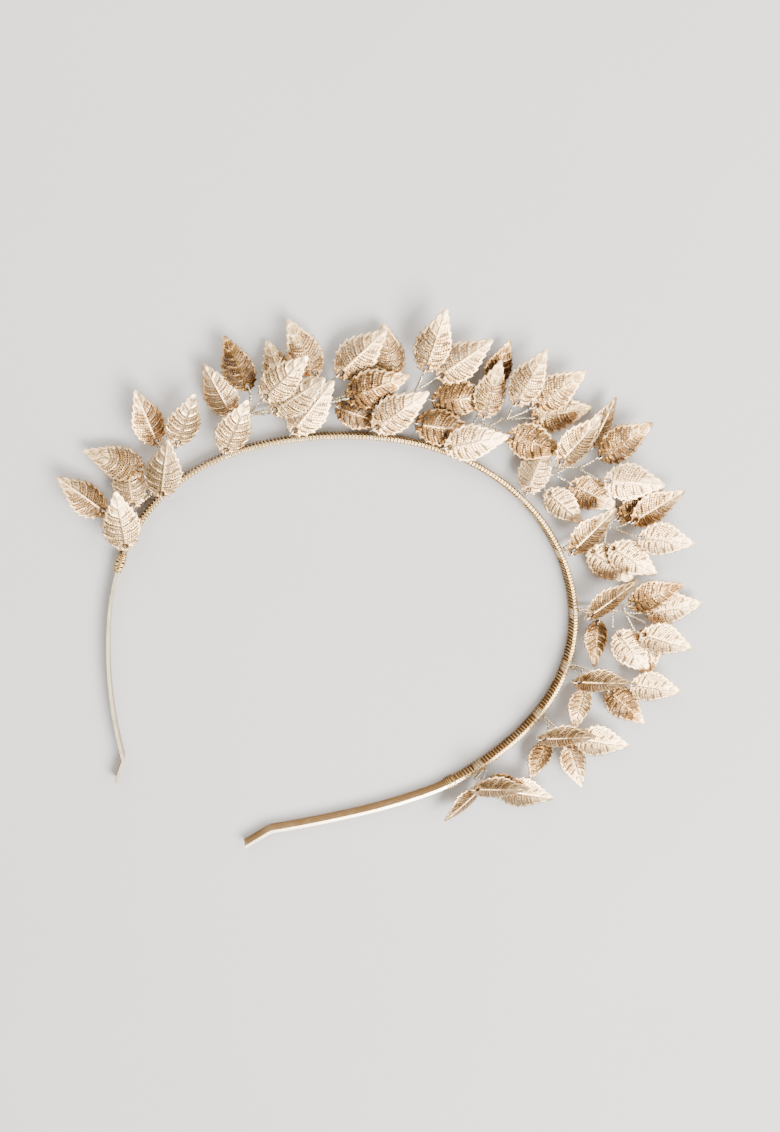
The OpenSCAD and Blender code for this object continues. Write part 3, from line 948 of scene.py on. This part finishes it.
def edge_line():
    """Toothed outline of a leaf's left half, a point for each row of the net."""
    rows = 2 * rib_gaps
    shares = net_end_share * np.linspace(0, 1, edge_samples) ** 2
    line = np.column_stack((leaf_length * shares - hole_inset, [half_width(s) for s in shares]))
    steps = np.linalg.norm(np.diff(line, axis=0), axis=1)
    at = np.concatenate(((0.0,), np.cumsum(steps)))
    wanted = np.linspace(0, at[-1], rows + 1)
    smooth = np.column_stack([np.interp(wanted, at, line[:, k]) for k in (0, 1)])
    forward = np.gradient(smooth, axis=0)
    toothed = [smooth[0]]
    for k in range(1, rows + 1):
        ahead = unit(forward[k])
        out = np.array((-ahead[1], ahead[0]))
        stand, lean = tooth_rows[k % len(tooth_rows)]
        fall = last_tooth_share + (rows - k) / tooth_fall_rows
        strength = min(1.0, k / tooth_growth_rows, fall)
        toothed.append(smooth[k] + strength * (stand * out + lean * ahead))
    return toothed


def filigree_leaf():
    """Points, faces and relief (0 in the net, 1 on ribs and rim) of one leaf."""
    points = []
    relief = []
    sheet_faces = []
    chance = random.Random(7)

    def add(x, y, rise, height):
        wave = math.sin(x / rib_wave_length + rib_wave_slant * y)
        x += rib_wave * wave * min(1.0, abs(y) / 2)
        points.append(sheet_point(x, y, rise))
        relief.append(height)
        return len(points) - 1

    def add_face(side, *corners):
        sheet_faces.append(corners if side > 0 else corners[::-1])

    last_row = 2 * rib_gaps
    axis_row = 2 * eyelet_gaps
    rim_column = 1 + 2 * cells_across
    edge = edge_line()
    starts = []
    for k in range(last_row + 1):
        if k <= axis_row:
            angle = math.pi * (1 - k / axis_row)
            starts.append((math.cos(angle), math.sin(angle)))
        else:
            way = (k - axis_row) / (last_row - axis_row)
            starts.append((eyelet_radius + (midrib_end - eyelet_radius) * way**rib_sweep, way))

    def row_columns(k, side, left_rows):
        """Vertices of one row, from the eyelet or midrib to the toothed edge.

        The right half takes what lies on the leaf's axis from the left half.
        """
        main = k % main_every == 0
        lift = main_rise if main else -net_fall
        if k <= axis_row:
            c, s = starts[k]
            first = (hole_radius * c, hole_radius * s)
            second = (eyelet_radius * c, eyelet_radius * s)
            rises = eyelet_rises
            heights = eyelet_reliefs
        else:
            x, way = starts[k]
            first = (x, 0.0)
            second = (x + midrib_lean, midrib_half * (1 - midrib_narrowing * way))
            rises = (midrib_rises[0] * (1 - midrib_sinking * way), midrib_rises[1])
            heights = midrib_reliefs
        end = np.array(edge[k])
        chord = end - second
        length = np.linalg.norm(chord)
        rim = min(rim_width, largest_rim_share * length)
        inner = 1 - rim / length
        row = []
        for j, (place, rise, value) in enumerate(zip((first, second), rises, heights)):
            on_axis = k == axis_row or (k > axis_row and j == 0)
            if left_rows and on_axis:
                row.append(left_rows[k][j])
            else:
                row.append(add(place[0], side * place[1], rise, value))
        for m in range(2, rim_column + 1):
            f = inner * (m - 1) / (rim_column - 1)
            bow = rib_bow * length * math.sin(math.pi * f) * min(1.0, k / axis_row)
            x, y = np.array(second) + f * chord
            swing = min(1.0, rib_fade_start + (1 - rib_fade_start) * f)
            fade = math.sin(math.pi * swing) ** rib_fade_power
            if f >= rib_end_share:
                fade = rib_end_fade
            height = 1.0
            if not main:
                x += chance.uniform(-net_shift, net_shift)
                height = chance.uniform(*net_reliefs)
            row.append(add(x - bow, side * y, lift * fade, height))
        rim_middle = 1 - 0.5 * rim / length
        for f, rise, value in ((rim_middle, rim_rise, rim_relief), (1.0, 0.0, edge_relief)):
            x, y = np.array(second) + f * chord
            row.append(add(x, side * y, rise, value))
        return row

    left_rows = []
    for side in (1, -1):
        rows = left_rows[:1]
        for k in range(len(rows), last_row + 1):
            rows.append(row_columns(k, side, left_rows))
        left_rows = rows
        for k in range(last_row):
            columns = [rim_column, rim_column + 1]
            if k == axis_row:
                add_face(side, rows[k][1], rows[k + 1][0], rows[k + 1][1])
            else:
                columns.append(0)
            for m in columns:
                add_face(side, rows[k][m], rows[k + 1][m], rows[k + 1][m + 1], rows[k][m + 1])
        # the net, its holes set half a step further in every second row
        for i in range(rib_gaps):
            k = 2 * i
            m = 1 + i % 2
            halves = [1] if m == 2 else []
            while m + 2 <= rim_column:
                ring = [
                    rows[k][m],
                    rows[k + 1][m],
                    rows[k + 2][m],
                    rows[k + 2][m + 1],
                    rows[k + 2][m + 2],
                    rows[k + 1][m + 2],
                    rows[k][m + 2],
                    rows[k][m + 1],
                ]
                corners = np.array([points[v] for v in ring])
                centre = (corners[1] + corners[5]) / 2
                outward, ahead = corners[5] - corners[1], corners[3] - corners[7]
                long_way, short_way = np.linalg.norm(outward), np.linalg.norm(ahead)
                if min(long_way, short_way) > smallest_cell:
                    size = chance.uniform(*hole_sizes)
                    half_out = size * min(hole_half_out, hole_share_out * long_way)
                    half_on = size * min(hole_half_on, hole_share_on * short_way)
                    reach_out = half_out * outward / long_way
                    reach_on = half_on * ahead / short_way
                    centre = centre + chance.uniform(-hole_drift_out, hole_drift_out) * outward
                    centre = centre + chance.uniform(-hole_drift_on, hole_drift_on) * ahead
                    inside = []
                    for j in range(hole_sides):
                        turn = math.radians(225 - 360 * j / hole_sides)
                        place = centre + math.cos(turn) * reach_out + math.sin(turn) * reach_on
                        points.append(tuple(place))
                        relief.append(hole_relief)
                        inside.append(len(points) - 1)
                    for j in range(hole_sides):
                        n = (j + 1) % hole_sides
                        add_face(side, ring[j], ring[n], inside[n], inside[j])
                else:
                    points.append(tuple(centre))
                    relief.append(closed_relief)
                    for j in range(hole_sides):
                        add_face(side, ring[j], ring[(j + 1) % hole_sides], len(points) - 1)
                m += 2
            if m + 1 <= rim_column:
                halves.append(m)
            for m in halves:
                for h in (k, k + 1):
                    add_face(side, rows[h][m], rows[h + 1][m], rows[h + 1][m + 1], rows[h][m + 1])
        # solid blunt tip
        if side > 0:
            tip = add(leaf_length - hole_inset, 0, 0, 1.0)
            middle_x = tip_middle_share * leaf_length - hole_inset
            tip_middle = add(middle_x, 0, tip_middle_rise, tip_relief)
        tip_chain = list(rows[-1])
        for share in tip_shares:
            x = leaf_length * share - hole_inset
            tip_chain.append(add(x, side * half_width(share), 0, tip_relief))
        tip_chain.append(tip)
        for a, b in zip(tip_chain, tip_chain[1:]):
            add_face(side, tip_middle, b, a)

    # lower surface and the walls along every open edge
    count = len(points)
    top = np.array(points) + (0, 0, leaf_thickness / 2)
    bottom = np.array(points) - (0, 0, leaf_thickness / 2)
    faces = list(sheet_faces)
    faces += [tuple(v + count for v in face[::-1]) for face in sheet_faces]
    edges = set()
    for face in sheet_faces:
        edges.update(zip(face, face[1:] + face[:1]))
    for a, b in sorted(edges):
        if (b, a) not in edges:
            faces.append((b, a, a + count, b + count))
    return np.vstack((top, bottom)), faces, np.array(relief + relief)


# size of the patches of painted shade
painted_shade_patch = 6.0
stamp_grain = 0.4
# painted shade at the leaf's base: the colour darkens from the base until about a third of the
# way to the tip
base_reach = 0.75
reach_gain = 0.8
leaf_metal = new_material("stamped_champagne_gold_filigree")
# stamped brass under champagne plate: a painted highlight makes the raised ribs
# and rim pale, painted shade keeps the pierced ground and the leaf's base a warm
# brown, and the leaf's grade says how much painted shade its patches take
leaf_place = add_node(leaf_metal, "ShaderNodeTexCoord")
leaf_relief = add_node(leaf_metal, "ShaderNodeAttribute", attribute_name="relief")
leaf_tone = add_node(leaf_metal, "ShaderNodeAttribute", attribute_name="tone")
leaf_reach = add_node(leaf_metal, "ShaderNodeAttribute", attribute_name="reach")
leaf_patch = add_node(
    leaf_metal,
    "ShaderNodeTexNoise",
    {
        "Vector": leaf_place.outputs["Object"],
        "Scale": 1 / (painted_shade_patch * mm),
        "Detail": 4.0,
        "Roughness": 0.6,
    },
)
# drawn four times as coarse as the real grain, so that it shows
leaf_grain = add_node(
    leaf_metal,
    "ShaderNodeTexNoise",
    {"Vector": leaf_place.outputs["Object"], "Scale": 1 / (stamp_grain * mm), "Detail": 3.0},
)
leaf_spread = add_node(
    leaf_metal,
    "ShaderNodeMapRange",
    {
        "Value": leaf_patch.outputs["Fac"],
        "From Min": 0.35,
        "From Max": 0.65,
        "To Min": 0.3,
        "To Max": 0.9,
    },
)
# painted shade: patches of each leaf darkened as far as its grade says
leaf_painted_shade = add_node(
    leaf_metal,
    "ShaderNodeMath",
    {0: leaf_spread.outputs["Result"], 1: leaf_tone.outputs["Fac"]},
    operation="MULTIPLY",
)
# painted light and shade: pale on the ribs and rim, brown in the pierced ground and towards the
# base
leaf_painted_light = add_node(
    leaf_metal,
    "ShaderNodeMath",
    {0: leaf_relief.outputs["Fac"], 1: leaf_reach.outputs["Fac"]},
    operation="MULTIPLY",
)
leaf_speck = add_node(
    leaf_metal,
    "ShaderNodeMapRange",
    {
        "Value": leaf_grain.outputs["Fac"],
        "From Min": 0.3,
        "From Max": 0.7,
        "To Min": -0.22,
        "To Max": 0.16,
    },
)
leaf_lit = add_node(
    leaf_metal,
    "ShaderNodeMath",
    {0: leaf_painted_light.outputs[0], 1: leaf_speck.outputs["Result"]},
    operation="ADD",
)
leaf_pale = add_node(
    leaf_metal,
    "ShaderNodeMath",
    {0: leaf_lit.outputs[0], 1: leaf_painted_shade.outputs[0]},
    operation="SUBTRACT",
    use_clamp=True,
)
leaf_color = add_node(leaf_metal, "ShaderNodeValToRGB", {"Fac": leaf_pale.outputs[0]})
leaf_color.color_ramp.elements[0].color = linear("#4E361E")
leaf_color.color_ramp.elements[1].color = linear("#F9D8A8")
for position, color in ((0.24, "#A07644"), (0.52, "#E1BC8A")):
    leaf_color.color_ramp.elements.new(position).color = linear(color)
leaf_rough = add_node(
    leaf_metal,
    "ShaderNodeMapRange",
    {"Value": leaf_grain.outputs["Fac"], "To Min": 0.3, "To Max": 0.46},
)
leaf_bump = add_node(
    leaf_metal,
    "ShaderNodeBump",
    {"Height": leaf_grain.outputs["Fac"], "Strength": 0.5, "Distance": 0.03 * mm},
)
finish_material(
    leaf_metal,
    {
        "Metallic": 1.0,
        "Base Color": leaf_color.outputs["Color"],
        "Roughness": leaf_rough.outputs["Result"],
        "Normal": leaf_bump.outputs["Normal"],
    },
)

plain_points, plain_faces, plain_relief = filigree_leaf()
# reach carries the painted shade at the base of every leaf
plain_shares = (plain_points[:, 0] + hole_inset) / leaf_length
plain_reach = np.clip(base_reach + reach_gain * plain_shares, 0, 1)
for number, (root, stem_points, leaves) in sprigs.items():
    parts = [(on_leaf(leaf, plain_points), plain_faces) for leaf in leaves]
    piece = show(
        f"sprig_{number}_filigree_leaves",
        *joined(parts),
        leaf_metal,
        f"sprig_{number}_leaves",
        "leaf_metal",
        sharp=42,
    )
    for name, values in (
        ("relief", np.tile(plain_relief, len(leaves))),
        ("reach", np.tile(plain_reach, len(leaves))),
        ("tone", np.repeat([leaf[GRADE] for leaf in leaves], len(plain_points))),
    ):
        attribute = piece.data.attributes.new(name, "FLOAT", "POINT")
        attribute.data.foreach_set("value", values.astype(np.float32))
